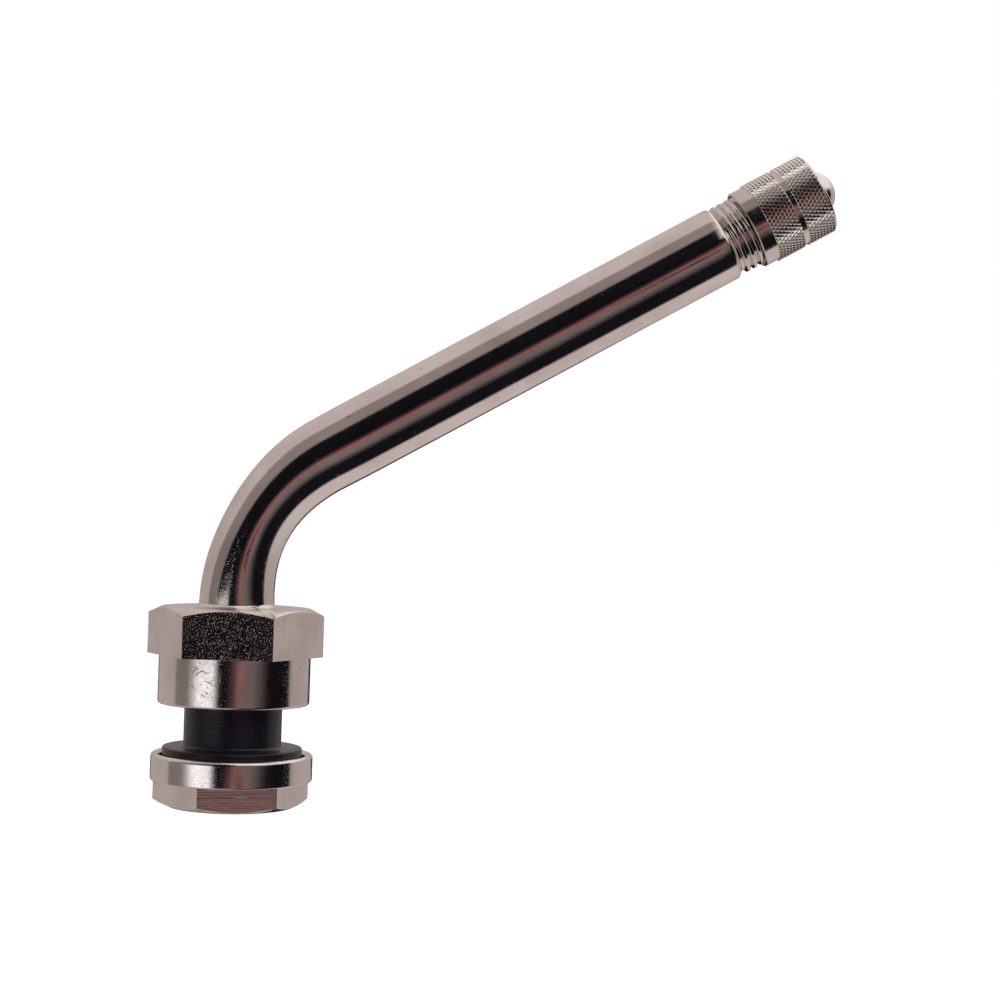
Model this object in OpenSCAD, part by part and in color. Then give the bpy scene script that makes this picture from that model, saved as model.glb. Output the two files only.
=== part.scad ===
// Bent metal clamp-in tyre valve for a truck wheel.
// The origin lies on the axis of the rim hole, in the plane where the collar
// sits on the rim. +Z points out of the wheel and the tube bends towards +X.

/* [Bent tube] */
// Outside diameter of the tube
tube_d = 8; // [7.4:0.05:9]
// Diameter of the air passage through tube and nipple
passage_d = 3.6; // [3.3:0.05:4.2]
// Straight tube between the hexagon and the bend
neck_h = 0.75; // [0.5:0.05:20]
// Angle of the bend
bend_angle = 60; // [15:1:90]
// Radius of the bend at the tube's centreline
bend_r = 17.9; // [12:0.1:40]
// Outside diameter of the tube round the bend, where bending draws it in
bend_d = 7.4; // [6.8:0.05:7.9]
// Straight tube from the bend to the mouth
arm_l = 56.5; // [45:0.1:140]
// Length over which the tube widens again after the bend
taper_l = 3; // [2:0.5:15]
// Outside diameter of the cap thread
thread_d = 7.7; // [7.2:0.05:7.9]
// Length of the cap thread
thread_l = 9.45; // [7:0.05:14]
// Length of tube that is brazed into the hexagon
socket_l = 5.2; // [3:0.1:8]
// Radial gap for the braze around the tube
braze_gap = 0.04; // [0.02:0.01:0.1]
// Radius of the braze fillet at the foot of the tube
braze_r = 0.8; // [0.4:0.1:1.5]

/* [Hexagon body] */
// Width of the hexagon across its flats
hex_af = 15.875; // [15:0.025:19]
// Height of the hexagon
hex_h = 5; // [4:0.1:8]
// Turn of the hexagon from the plane of the bend
hex_turn = 1; // [-30:1:30]
// Slope of the chamfer on the hexagon's corners
hex_slope = 26; // [15:1:35]
// Width of the flat land on top of the hexagon
hex_land_d = 15.4; // [13:0.1:15.8]
// Diameter of the collar that sits on the rim
collar_d = 15.75; // [13:0.05:15.85]
// Height of the collar
collar_h = 5.05; // [3.5:0.05:9]
// Depth of the recess under the collar that takes the end of the sleeve
recess_l = 1.4; // [0.8:0.1:2.5]
// Radial gap between the recess and the sleeve
recess_gap = 0.25; // [0.1:0.05:0.5]
// Outside diameter of the threaded nipple
nipple_d = 8; // [7:0.1:8.4]
// Distance of the nipple's end above the underside of the foot nut
nipple_recess = 0.4; // [0:0.1:1.5]
// Small bevel on turned edges
edge = 0.3; // [0.1:0.05:0.4]

/* [Rubber grommet] */
// Outside diameter of the sleeve that fills the rim hole
sleeve_d = 10.15; // [9.7:0.05:11]
// Room for the rim between the collar and the flange
grip_l = 4.5; // [3:0.1:12]
// Diameter of the flange
flange_d = 14.5; // [12.5:0.05:15]
// Thickness of the flange
flange_t = 2.2; // [1.6:0.1:3]
// Height of the flange that stands out of the foot nut
flange_proud = 0.64; // [0.3:0.02:1.2]
// Radial gap between the grommet and the nipple
grommet_gap = 0.1; // [0.05:0.05:0.2]
// Narrowing of the sleeve's end inside the recess
lead_in = 0.3; // [0.1:0.05:0.5]

/* [Foot nut] */
// Diameter of the cup
cup_d = 16.8; // [16.3:0.1:20]
// Height of the round cup
cup_h = 2.8; // [2.5:0.1:5]
// Radial gap between the cup's pocket and the flange
pocket_gap = 0.35; // [0.1:0.05:0.4]
// Width of the foot's hexagon across its flats
foot_af = 14; // [13:0.1:16]
// Height of the foot's hexagon
foot_h = 2.65; // [1.8:0.05:6]
// Turn of the foot's hexagon from the plane of the bend
foot_turn = 12; // [-30:1:30]
// Slope of the turned underside of the foot
foot_slope = 24; // [15:1:45]
// Diameter of the flat land under the foot
foot_land_d = 13.2; // [10.5:0.1:13.8]
// Radial gap between the two threads of the nipple and the foot nut
nipple_gap = 0.05; // [0.02:0.01:0.1]

/* [Cap] */
// Diameter over the two gripping bands
cap_d = 8.8; // [8.5:0.05:10.5]
// Length of the cap without its dome
cap_l = 8.45; // [7:0.05:12]
// Length of the plain skirt at the open end
skirt_l = 1.6; // [0.6:0.1:3]
// Depth of the skirt and of the groove below the gripping bands
band_relief = 0.16; // [0.05:0.01:0.2]
// Width of the groove between the gripping bands
groove_w = 0.6; // [0.3:0.05:1.2]
// Diamonds of the knurl round each gripping band
knurl_count = 64; // [24:2:72]
// Rows of half diamonds along each gripping band
knurl_rows = 8; // [4:1:10]
// Depth of the knurl as a share of the bands' height over the skirt
knurl_share = 0.9; // [0.5:0.05:0.95]
// Thickness of the cap's end
cap_end_t = 0.8; // [0.6:0.05:2]
// Diameter of the dome at its base
dome_d = 4.8; // [3:0.1:7]
// Height of the dome
dome_h = 1.75; // [0.5:0.05:2.4]
// Radial gap between the two threads of the tube and the cap
cap_gap = 0.05; // [0.02:0.01:0.1]
// Thickness of the cap's rubber seal
cap_seal_t = 1; // [0.6:0.1:1.5]
// Radial gap between the seal and the cap's wall
cap_seal_gap = 0.15; // [0.05:0.05:0.3]

/* [Valve core] */
// Outside diameter of the core's thread
core_d = 5.2; // [5:0.05:5.4]
// Radial gap between the core and the inside of the tube
core_gap = 0.05; // [0.02:0.01:0.1]
// Depth of the plug's top below the mouth
plug_depth = 0.9; // [0.5:0.1:2]
// Height of the plug's two driving ears
ear_h = 1.7; // [1:0.1:2.5]
// Width across the flats of the driving ears
ear_w = 3; // [2.9:0.05:3.4]
// Length of the plug's thread
plug_l = 2.6; // [2:0.1:4]
// Diameter of the spring's room in plug and barrel
spring_room_d = 2.7; // [2.6:0.05:2.8]
// Diameter of the barrel
barrel_d = 4; // [3.8:0.05:4.4]
// Length of the barrel above its gasket
barrel_l = 2.1; // [1.8:0.1:4]
// Length of the barrel's spigot inside the plug
spigot_l = 0.9; // [0.5:0.1:1.2]
// Diameter of the barrel's spigot and of its lower tube
spigot_d = 3.2; // [3.1:0.02:3.24]
// Length of the conical gasket
gasket_l = 1; // [0.7:0.05:1.5]
// Length of the barrel below its gasket
barrel_tail_l = 2; // [1.5:0.1:4]
// Diameter of the pin's passage through the barrel
barrel_bore_d = 1.7; // [1.5:0.05:1.9]
// Diameter of the core pin
pin_d = 1; // [0.8:0.05:1.2]
// Depth of the pin's tip below the mouth
pin_depth = 0.35; // [0.1:0.05:0.8]
// Diameter of the pin's head
pin_head_d = 1.6; // [1.3:0.05:2]
// Diameter of the collar on the pin that holds the spring
pin_collar_d = 2.3; // [2.1:0.05:2.4]
// Thickness of the pin's collar and of its riveted end
pin_collar_t = 0.4; // [0.3:0.05:0.6]
// Depth of the pin's collar below its tip
pin_collar_depth = 1.5; // [1:0.05:2]
// Diameter of the plunger cup
plunger_d = 3; // [2.8:0.02:3.1]
// Height of the plunger cup
plunger_h = 1.9; // [1.5:0.1:3]
// Wall of the plunger cup
plunger_wall = 0.25; // [0.2:0.01:0.3]
// Thickness of the rubber seal in the plunger cup
cup_seal_t = 1; // [0.6:0.05:1.2]
// Diameter of the spring's wire
wire_d = 0.28; // [0.2:0.02:0.32]
// Turns of the spring
spring_turns = 7; // [5:0.5:8]
// Gap between pieces that seat face to face
seat_gap = 0.02; // [0.01:0.01:0.05]

/* [Hidden] */
$fn = 64;

// Overlap of cutting shapes past the faces that they open
cut = 1;
// Shapes of one piece reach this far into each other, and the tube's runs stand a step wider
lap = 0.3;
lap_step = 0.02;
// Facets of a rounded edge
edge_facets = 8;
nickel = "#c9c3bb";
brass = "#c8a24a";
black_rubber = "#1b1b1c";

// Heights along the axis of the rim hole
hex_top_z = collar_h + hex_h;
bend_z = hex_top_z + neck_h;
socket_z = hex_top_z - socket_l;
flange_z = -grip_l;
flange_low_z = flange_z - flange_t;
pocket_z = flange_low_z - seat_gap;
cup_top_z = flange_z - flange_proud;
cup_low_z = cup_top_z - cup_h;
foot_z = cup_low_z - foot_h;
nipple_z = foot_z + nipple_recess;

// Radii that mating pieces share
tube_r = tube_d / 2;
sleeve_r = sleeve_d / 2;
recess_r = sleeve_r + recess_gap;
nipple_r = nipple_d / 2;
pocket_r = flange_d / 2 + pocket_gap;
cup_wall = cup_d / 2 - pocket_r;
cap_r = cap_d / 2;
cap_bore_r = thread_d / 2 + cap_gap;
core_r = core_d / 2 + core_gap;

// Places along the tube's mouth, where 0 is the mouth and inwards is negative
cap_open_y = seat_gap + cap_seal_t + seat_gap + cap_end_t - cap_l;
cap_end_y = cap_open_y + cap_l;
cap_roof_y = cap_end_y - cap_end_t;
band_l = (cap_l - skirt_l - groove_w - edge) / 2;
dome_r = (dome_d * dome_d / 4 + dome_h * dome_h) / (2 * dome_h);
plug_y = -plug_depth;
ear_low_y = plug_y - ear_h;
plug_low_y = ear_low_y - plug_l;
barrel_y = plug_low_y - seat_gap;
gasket_y = barrel_y - barrel_l;
gasket_low_y = gasket_y - gasket_l;
tail_y = gasket_low_y - barrel_tail_l;
pin_y = -pin_depth;
pin_collar_y = pin_y - pin_collar_depth;
pin_collar_low_y = pin_collar_y - pin_collar_t;
spring_floor_y = barrel_y - barrel_l / 2;
spring_y = pin_collar_low_y - seat_gap;
spring_low_y = spring_floor_y + seat_gap;
plunger_y = tail_y - seat_gap;
plunger_low_y = plunger_y - plunger_h;
pin_end_y = plunger_low_y - seat_gap - pin_collar_t;

// The seat cone in the tube follows the gasket, from the core's room to the passage
seat_clear = 2 * seat_gap;
gasket_r = core_r - seat_clear;
gasket_low_r = passage_d / 2 + seat_clear;
gasket_bore_r = spigot_d / 2 + seat_gap;

// Moves its children from the bend's end, with +Z along the straight arm
module along_arm() {
    translate([bend_r * (1 - cos(bend_angle)), 0, bend_z + bend_r * sin(bend_angle)])
        rotate([0, bend_angle, 0])
            children();
}

// Moves its children to the mouth, with +Z pointing out of the tube
module at_mouth() {
    along_arm()
        translate([0, 0, arm_l])
            children();
}

// A round bar through the bend
module bend_bar(d) {
    translate([bend_r, 0, bend_z])
        rotate([90, 0, 180])
            rotate_extrude(angle = bend_angle)
                translate([bend_r, 0])
                    circle(d = d);
}

// Points along an arc around a centre
function arc(centre, r, from, to) = [for (i = [0 : edge_facets])
    let (a = from + (to - from) * i / edge_facets)
        centre + r * [cos(a), sin(a)]];

// A turned piece from its half outline
module turned(outline) {
    rotate_extrude()
        polygon(outline);
}

// A hexagonal bar of a given width across flats
module hex_bar(af, h) {
    cylinder(d = af / cos(30), h = h, $fn = 6);
}

// The tube, bent cold, with the cap thread's land and the valve core's room at its mouth
module bent_tube() {
    join_r = bend_d / 2 + lap_step;
    passage_r = passage_d / 2;
    thread_r = thread_d / 2;
    color(nickel)
        difference() {
            union() {
                turned([[0, socket_z], [tube_r, socket_z], [tube_r, hex_top_z], [join_r, bend_z],
                    [join_r, bend_z + lap], [0, bend_z + lap]]);
                bend_bar(bend_d);
                along_arm()
                    turned([[0, -lap], [join_r, -lap], [join_r, 0], [tube_r, taper_l],
                        [tube_r, arm_l - thread_l - edge], [thread_r, arm_l - thread_l],
                        [thread_r, arm_l - 2 * edge], [thread_r - 2 * edge, arm_l], [0, arm_l]]);
            }
            translate([0, 0, socket_z - cut])
                cylinder(r = passage_r, h = bend_z + lap - socket_z + cut);
            bend_bar(passage_d - 2 * lap_step);
            along_arm()
                turned([[0, -lap], [passage_r, -lap], [passage_r, arm_l + gasket_low_y],
                    [core_r, arm_l + gasket_y], [core_r, arm_l - edge],
                    [core_r + edge + cut, arm_l + cut], [0, arm_l + cut]]);
        }
}

// Hexagon, collar and threaded nipple, turned from one hexagonal bar
module hex_body() {
    slope_r = hex_af / cos(30) / 2 + cut;
    slope_drop = (slope_r - hex_land_d / 2) * tan(hex_slope);
    color(nickel)
        difference() {
            union() {
                intersection() {
                    rotate([0, 0, hex_turn])
                        translate([0, 0, collar_h])
                            hex_bar(hex_af, hex_h);
                    turned([[0, collar_h - cut], [slope_r, collar_h - cut],
                        [slope_r, hex_top_z - slope_drop], [hex_land_d / 2, hex_top_z],
                        [0, hex_top_z]]);
                }
                turned([[0, nipple_z], [nipple_r - edge, nipple_z], [nipple_r, nipple_z + edge],
                    [nipple_r, recess_l], [recess_r, recess_l], [recess_r, 0],
                    [collar_d / 2 - edge, 0], [collar_d / 2, edge], [collar_d / 2, collar_h],
                    [recess_r, collar_h], [recess_r, collar_h + hex_h / 2], [0, collar_h + hex_h / 2]]);
                braze_fillet();
            }
            translate([0, 0, socket_z])
                cylinder(r = tube_r + braze_gap, h = socket_l + braze_r + cut);
            translate([0, 0, nipple_z - cut])
                cylinder(d = passage_d, h = socket_z - nipple_z + 2 * cut);
        }
}

// Hollow fillet of braze that runs up the tube from the hexagon
module braze_fillet() {
    wall_r = tube_r + braze_gap;
    turned(concat([[tube_r - edge, hex_top_z - edge], [wall_r + braze_r, hex_top_z - edge]],
        arc([wall_r + braze_r, hex_top_z + braze_r], braze_r, 270, 180),
        [[tube_r - edge, hex_top_z + braze_r]]));
}

// Rubber sleeve with the flange that seals on the inside of the rim
module grommet() {
    bore_r = nipple_r + grommet_gap;
    top_z = recess_l - 2 * lead_in;
    color(black_rubber)
        turned([[bore_r, flange_low_z], [flange_d / 2, flange_low_z], [flange_d / 2, flange_z - edge / 2],
            [flange_d / 2 - edge / 2, flange_z], [sleeve_r, flange_z], [sleeve_r, 0],
            [sleeve_r - lead_in, top_z], [bore_r, top_z]]);
}

// Nut that is screwed on from inside the wheel: a round cup over a short hexagon
module foot_nut() {
    bore_r = nipple_r + nipple_gap;
    rim_r = cup_wall / 2;
    slope_r = foot_af / cos(30) / 2 + cut;
    slope_rise = (slope_r - foot_land_d / 2) * tan(foot_slope);
    color(nickel)
        difference() {
            union() {
                turned(concat([[0, cup_low_z], [cup_d / 2 - edge, cup_low_z], [cup_d / 2, cup_low_z + edge]],
                    arc([pocket_r + rim_r, cup_top_z - rim_r], rim_r, 0, 180),
                    [[pocket_r, pocket_z], [0, pocket_z]]));
                intersection() {
                    rotate([0, 0, foot_turn])
                        translate([0, 0, foot_z])
                            hex_bar(foot_af, foot_h + lap);
                    turned([[0, foot_z], [foot_land_d / 2, foot_z], [slope_r, foot_z + slope_rise],
                        [slope_r, cup_low_z + cut], [0, cup_low_z + cut]]);
                }
            }
            turned([[0, foot_z - cut], [bore_r + edge + cut, foot_z - cut], [bore_r, foot_z + edge],
                [bore_r, pocket_z - edge], [bore_r + edge + cut, pocket_z + cut], [0, pocket_z + cut]]);
        }
}

// Screw cap with a plain skirt, two knurled bands for the grip and a domed end
module cap_shell() {
    low_r = cap_r - band_relief;
    root_r = (cap_bore_r + low_r) / 2;
    band_y = cap_open_y + skirt_l;
    second_y = band_y + band_l + groove_w;
    color(nickel)
        at_mouth()
            difference() {
                union() {
                    turned([[0, cap_open_y], [low_r - edge / 2, cap_open_y], [low_r, cap_open_y + edge / 2],
                        [low_r, cap_end_y - edge], [low_r - edge, cap_end_y], [0, cap_end_y]]);
                    knurled_band(band_y, root_r);
                    knurled_band(second_y, root_r);
                    dome();
                }
                turned([[0, cap_open_y - cut], [cap_bore_r + edge / 2 + cut, cap_open_y - cut],
                    [cap_bore_r, cap_open_y + edge / 2], [cap_bore_r, cap_roof_y], [0, cap_roof_y]]);
            }
}

// One band of diamonds, a ring rooted in the cap's wall: the points stand at the cap's radius, with
// grooves crossing between them; its last two rows are the inner wall
module knurled_band(low_y, root_r) {
    sides = 2 * knurl_count;
    rows = knurl_rows + 3;
    groove_r = cap_r - band_relief * knurl_share;
    points = [for (j = [0 : rows - 1], k = [0 : sides - 1])
        let (turn = 360 * k / sides, tip_r = (j + k) % 2 == 0 ? cap_r : groove_r, inner = j > knurl_rows)
        let (r = inner ? root_r : tip_r, rise = inner ? rows - 1 - j : j / knurl_rows)
            [r * cos(turn), r * sin(turn), low_y + band_l * rise]];
    facets = [for (j = [0 : rows - 1], k = [0 : sides - 1])
        let (next = (k + 1) % sides, above = (j + 1) % rows * sides)
        let (a = j * sides + k, b = j * sides + next, c = above + next, d = above + k)
            each (j + k) % 2 == 1 ? [[a, d, c], [a, c, b]] : [[a, d, b], [d, c, b]]];
    polyhedron(points = points, faces = facets);
}

// Dome on the cap's end
module dome() {
    intersection() {
        translate([0, 0, cap_end_y + dome_h - dome_r])
            sphere(r = dome_r);
        translate([0, 0, cap_end_y - cap_end_t / 2])
            cylinder(d = dome_d, h = cap_end_t / 2 + dome_h + cut);
    }
}

// Rubber disc that the cap presses on the mouth
module cap_seal() {
    color(black_rubber)
        at_mouth()
            translate([0, 0, seat_gap])
                cylinder(r = cap_bore_r - cap_seal_gap, h = cap_seal_t);
}

// Threaded plug of the core, with two ears for the driver
module core_plug() {
    spigot_room_r = spigot_d / 2 + seat_gap;
    color(brass)
        at_mouth()
            difference() {
                union() {
                    turned([[0, plug_low_y], [core_d / 2 - edge, plug_low_y], [core_d / 2, plug_low_y + edge],
                        [core_d / 2, ear_low_y - edge], [core_d / 2 - edge, ear_low_y], [0, ear_low_y]]);
                    intersection() {
                        translate([0, 0, ear_low_y - edge])
                            cylinder(d = core_d - 2 * edge, h = ear_h + edge);
                        translate([-core_d / 2, -ear_w / 2, ear_low_y - edge])
                            cube([core_d, ear_w, ear_h + edge]);
                    }
                }
                translate([0, 0, plug_low_y - cut])
                    cylinder(d = spring_room_d, h = plug_l + ear_h + 2 * cut);
                translate([0, 0, plug_low_y - cut])
                    cylinder(r = spigot_room_r, h = cut + spigot_l + seat_gap);
            }
}

// Barrel of the core: spigot, body, gasket groove and the tail that the plunger closes
module core_barrel() {
    spigot_r = spigot_d / 2;
    color(brass)
        at_mouth()
            difference() {
                turned([[0, tail_y], [spigot_r - edge, tail_y], [spigot_r, tail_y + 2 * edge],
                    [spigot_r, gasket_y + seat_gap], [barrel_d / 2, gasket_y + seat_gap],
                    [barrel_d / 2, barrel_y], [spigot_r, barrel_y], [spigot_r, barrel_y + spigot_l], [0, barrel_y + spigot_l]]);
                translate([0, 0, spring_floor_y])
                    cylinder(d = spring_room_d, h = barrel_l + spigot_l + cut);
                translate([0, 0, tail_y - cut])
                    cylinder(d = barrel_bore_d, h = spring_floor_y - tail_y + 2 * cut);
            }
}

// Conical gasket that seals the barrel in the tube
module barrel_gasket() {
    color("#e8e4da")
        at_mouth()
            turned([[gasket_bore_r, gasket_low_y + seat_clear], [gasket_low_r - seat_clear, gasket_low_y + seat_clear],
                [gasket_r - seat_clear, gasket_y], [gasket_bore_r, gasket_y]]);
}

// Pin with its head, the collar under which the spring pushes, and its riveted end
module core_pin() {
    pin_r = pin_d / 2;
    color(brass)
        at_mouth()
            turned([[0, pin_end_y], [pin_r + plunger_wall, pin_end_y],
                [pin_r + plunger_wall, pin_end_y + pin_collar_t], [pin_r, pin_end_y + pin_collar_t],
                [pin_r, pin_collar_low_y], [pin_collar_d / 2, pin_collar_low_y],
                [pin_collar_d / 2, pin_collar_y], [pin_r, pin_collar_y], [pin_r, pin_y - edge - pin_r],
                [pin_head_d / 2, pin_y - edge], [pin_head_d / 2, pin_y - edge / 2],
                [pin_head_d / 2 - edge / 2, pin_y], [0, pin_y]]);
}

// Cup at the inner end of the pin
module plunger_cup() {
    pocket_y = plunger_y - cup_seal_t - seat_gap;
    color(brass)
        at_mouth()
            turned([[pin_d / 2 + seat_gap, plunger_low_y], [plunger_d / 2 - edge, plunger_low_y],
                [plunger_d / 2, plunger_low_y + edge], [plunger_d / 2, plunger_y - edge],
                [plunger_d / 2 - plunger_wall, plunger_y - edge], [plunger_d / 2 - plunger_wall, pocket_y],
                [pin_d / 2 + seat_gap, pocket_y]]);
}

// Rubber ring in the plunger cup that closes the barrel's tail
module cup_seal() {
    color(black_rubber)
        at_mouth()
            translate([0, 0, plunger_y - cup_seal_t])
                difference() {
                    cylinder(r = plunger_d / 2 - plunger_wall - seat_gap, h = cup_seal_t);
                    translate([0, 0, -cut])
                        cylinder(r = pin_d / 2 + seat_gap, h = cup_seal_t + 2 * cut);
                }
}

// Coil spring between the barrel and the pin's collar, a round wire swept along a helix
module core_spring() {
    sides = 8;
    rings = round(spring_turns * 14);
    wire_r = wire_d / 2;
    coil_r = (spring_room_d / 2 + pin_d / 2) / 2 + wire_r / 2;
    rise = spring_y - spring_low_y - wire_d;
    points = [for (i = [0 : rings], k = [0 : sides - 1])
        let (turn = 360 * spring_turns * i / rings, tilt = 360 * k / sides, r = coil_r + wire_r * cos(tilt))
            [r * cos(turn), r * sin(turn), spring_low_y + wire_r + rise * i / rings + wire_r * sin(tilt)]];
    walls = [for (i = [0 : rings - 1], k = [0 : sides - 1])
        let (next = (k + 1) % sides)
            [i * sides + k, (i + 1) * sides + k, (i + 1) * sides + next, i * sides + next]];
    first = [for (k = [0 : sides - 1]) k];
    last = [for (k = [sides - 1 : -1 : 0]) rings * sides + k];
    color("#b9b9b4")
        at_mouth()
            polyhedron(points = points, faces = concat(walls, [first], [last]));
}

bent_tube();
hex_body();
grommet();
foot_nut();
cap_shell();
cap_seal();
core_plug();
core_barrel();
barrel_gasket();
core_pin();
plunger_cup();
cup_seal();
core_spring();
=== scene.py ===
import math

import bpy
from mathutils import Matrix, Vector


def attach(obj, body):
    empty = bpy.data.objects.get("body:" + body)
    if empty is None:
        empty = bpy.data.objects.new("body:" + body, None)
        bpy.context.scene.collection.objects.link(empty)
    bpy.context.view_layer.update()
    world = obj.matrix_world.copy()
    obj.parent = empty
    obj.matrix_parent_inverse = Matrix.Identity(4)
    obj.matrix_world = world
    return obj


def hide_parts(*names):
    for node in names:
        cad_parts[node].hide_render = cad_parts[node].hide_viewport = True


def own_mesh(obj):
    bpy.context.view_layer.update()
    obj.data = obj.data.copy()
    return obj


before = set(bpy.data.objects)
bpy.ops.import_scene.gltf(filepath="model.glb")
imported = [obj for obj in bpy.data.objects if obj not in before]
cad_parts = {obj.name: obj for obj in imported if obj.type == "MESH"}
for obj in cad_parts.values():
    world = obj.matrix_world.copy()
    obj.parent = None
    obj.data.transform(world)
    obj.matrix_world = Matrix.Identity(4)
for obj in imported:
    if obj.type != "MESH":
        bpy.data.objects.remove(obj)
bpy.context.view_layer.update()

# Bent tube: a thick brass tube, threaded at its mouth, bent cold by 60 degrees and plated with
# nickel. It is brazed into the hexagon at its foot, and bending has drawn it in round the bend.
MM = 0.001
TUBE_R = 4.0
PASSAGE_R = 1.8
SOCKET_Z = 4.85
HEX_TOP_Z = 10.05
BEND_Z = 10.8
BEND_R = 17.9
BEND_ANGLE = math.radians(60)
BEND_L = BEND_R * BEND_ANGLE
BEND_DRAW_IN = 0.11
DRAW_IN_AT = 0.45
DRAW_IN_WIDTH = 0.38
DRAW_IN_CUT = 0.02
SIDE_SPREAD = 0.25
ARM_L = 56.5
THREAD_L = 9.45
THREAD_PITCH = 0.794
THREAD_CREST_R = 3.85
THREAD_ROOT_R = 3.48
THREAD_RUNOUT = 0.3
MOUTH_CHAMFER = 0.3
CORE_ROOM_R = 2.65
SEAT_TOP = -7.32
SEAT_LOW = -8.32
ARM_DIR = Vector((math.sin(BEND_ANGLE), 0, math.cos(BEND_ANGLE)))
BEND_END = Vector((BEND_R * (1 - math.cos(BEND_ANGLE)), 0, BEND_Z + BEND_R * math.sin(BEND_ANGLE)))
MOUTH = BEND_END + ARM_DIR * ARM_L
TUBE_SIDES = 96
NECK_RINGS = 8
BEND_RINGS = 60
SEAM_GAP = 2e-6


def deselect_all():
    if bpy.context.object and bpy.context.object.mode != "OBJECT":
        bpy.ops.object.mode_set(mode="OBJECT")
    bpy.ops.object.select_all(action="DESELECT")


def pick(piece):
    deselect_all()
    piece.select_set(True)
    bpy.context.view_layer.objects.active = piece


def finish_mesh(name):
    bpy.ops.mesh.select_all(action="SELECT")
    bpy.ops.mesh.remove_doubles(threshold=1e-7)
    bpy.ops.mesh.delete_loose()
    bpy.ops.mesh.select_all(action="SELECT")
    bpy.ops.mesh.normals_make_consistent(inside=False)
    bpy.ops.object.mode_set(mode="OBJECT")
    piece = bpy.context.object
    piece.name = piece.data.name = name
    return piece


def use_modifier(piece, kind, **settings):
    pick(piece)
    modifier = piece.modifiers.new(kind.title(), kind)
    for key, value in settings.items():
        setattr(modifier, key, value)
    bpy.ops.object.modifier_apply(modifier=modifier.name)


def smooth(piece, angle=32):
    pick(piece)
    bpy.ops.object.shade_smooth_by_angle(angle=math.radians(angle))


def draw_outline(outline):
    # a chain of edges in the XZ plane, each drawn out from the last
    deselect_all()
    bpy.ops.mesh.primitive_plane_add(size=MM, enter_editmode=True)
    bpy.ops.mesh.merge(type="CENTER")
    bpy.ops.transform.translate(value=(outline[0][0] * MM, 0, outline[0][1] * MM))
    for (r0, z0), (r1, z1) in zip(outline, outline[1:]):
        bpy.ops.mesh.extrude_region_move(
            TRANSFORM_OT_translate={"value": ((r1 - r0) * MM, 0, (z1 - z0) * MM)})


def close_outline():
    # an edge between the chain's two loose ends
    bpy.ops.object.mode_set(mode="OBJECT")
    data = bpy.context.object.data
    joined = [corner for e in data.edges for corner in e.vertices]
    for v in data.vertices:
        v.select = joined.count(v.index) == 1
    bpy.ops.object.mode_set(mode="EDIT")
    bpy.ops.mesh.edge_face_add()


def turn_on_lathe(name, outline, sides=128, closed=True):
    draw_outline(outline)
    if closed:
        close_outline()
    bpy.ops.mesh.select_all(action="SELECT")
    bpy.ops.mesh.spin(steps=sides, angle=2 * math.pi, center=(0, 0, 0), axis=(0, 0, 1))
    return finish_mesh(name)


def move_to_mouth(piece):
    pick(piece)
    piece.rotation_euler = (0, BEND_ANGLE, 0)
    piece.location = MOUTH * MM
    bpy.ops.object.transform_apply(location=True, rotation=True, scale=True)


def wind_thread(name, root_r, crest_r, pitch, low, high, sides=72):
    # one tooth wound up along the axis, with its two ends sunk below the root
    buried = 0.12
    fade_turns = 0.4
    half = [(root_r - buried, 0.5), (root_r + 0.02, 0.43), (crest_r - 0.12, 0.29), (crest_r - 0.03, 0.22),
            (crest_r, 0.14)]
    tooth = [(r, -h) for r, h in half] + half[::-1]
    draw_outline([(r, low + h * pitch) for r, h in tooth])
    close_outline()
    bpy.ops.object.mode_set(mode="OBJECT")
    ridge = bpy.context.object
    turns = (high - low) / pitch
    steps = round(sides * turns)
    use_modifier(ridge, "SCREW", axis="Z", angle=2 * math.pi * turns, screw_offset=(high - low) * MM,
                 steps=steps, render_steps=steps)
    fade = sides * fade_turns
    for v in ridge.data.vertices:
        step = v.index // len(tooth)
        sink = max(0, 1 - min(step, steps - step) / fade)
        r = math.hypot(v.co.x, v.co.y)
        keep = 1 - sink * (crest_r - root_r + buried) * MM / r
        v.co.x *= keep
        v.co.y *= keep
    bpy.ops.object.mode_set(mode="EDIT")
    bpy.ops.mesh.select_all(action="SELECT")
    bpy.ops.mesh.fill_holes(sides=0)
    return finish_mesh(name)


def join_pieces(piece, *others):
    pick(piece)
    for other in others:
        other.select_set(True)
    bpy.ops.object.join()


def sweep_tube(name, radius, arm_reach, arm_rings):
    # a ring is drawn up from the socket, spun round the bend and drawn out along the arm
    deselect_all()
    bpy.ops.mesh.primitive_circle_add(vertices=TUBE_SIDES, radius=radius * MM, enter_editmode=True)
    bpy.ops.transform.translate(value=(0, 0, SOCKET_Z * MM))
    neck = (BEND_Z - SOCKET_Z) / NECK_RINGS
    for _ in range(NECK_RINGS):
        bpy.ops.mesh.extrude_region_move(TRANSFORM_OT_translate={"value": (0, 0, neck * MM)})
    bpy.ops.mesh.spin(steps=BEND_RINGS, angle=BEND_ANGLE,
                      center=(BEND_R * MM, 0, BEND_Z * MM), axis=(0, -1, 0))
    for _ in range(arm_rings):
        bpy.ops.mesh.extrude_region_move(
            TRANSFORM_OT_translate={"value": tuple(ARM_DIR * arm_reach / arm_rings * MM)})
    bpy.ops.object.mode_set(mode="OBJECT")
    skin = bpy.context.object
    skin.name = skin.data.name = name
    return skin


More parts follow.
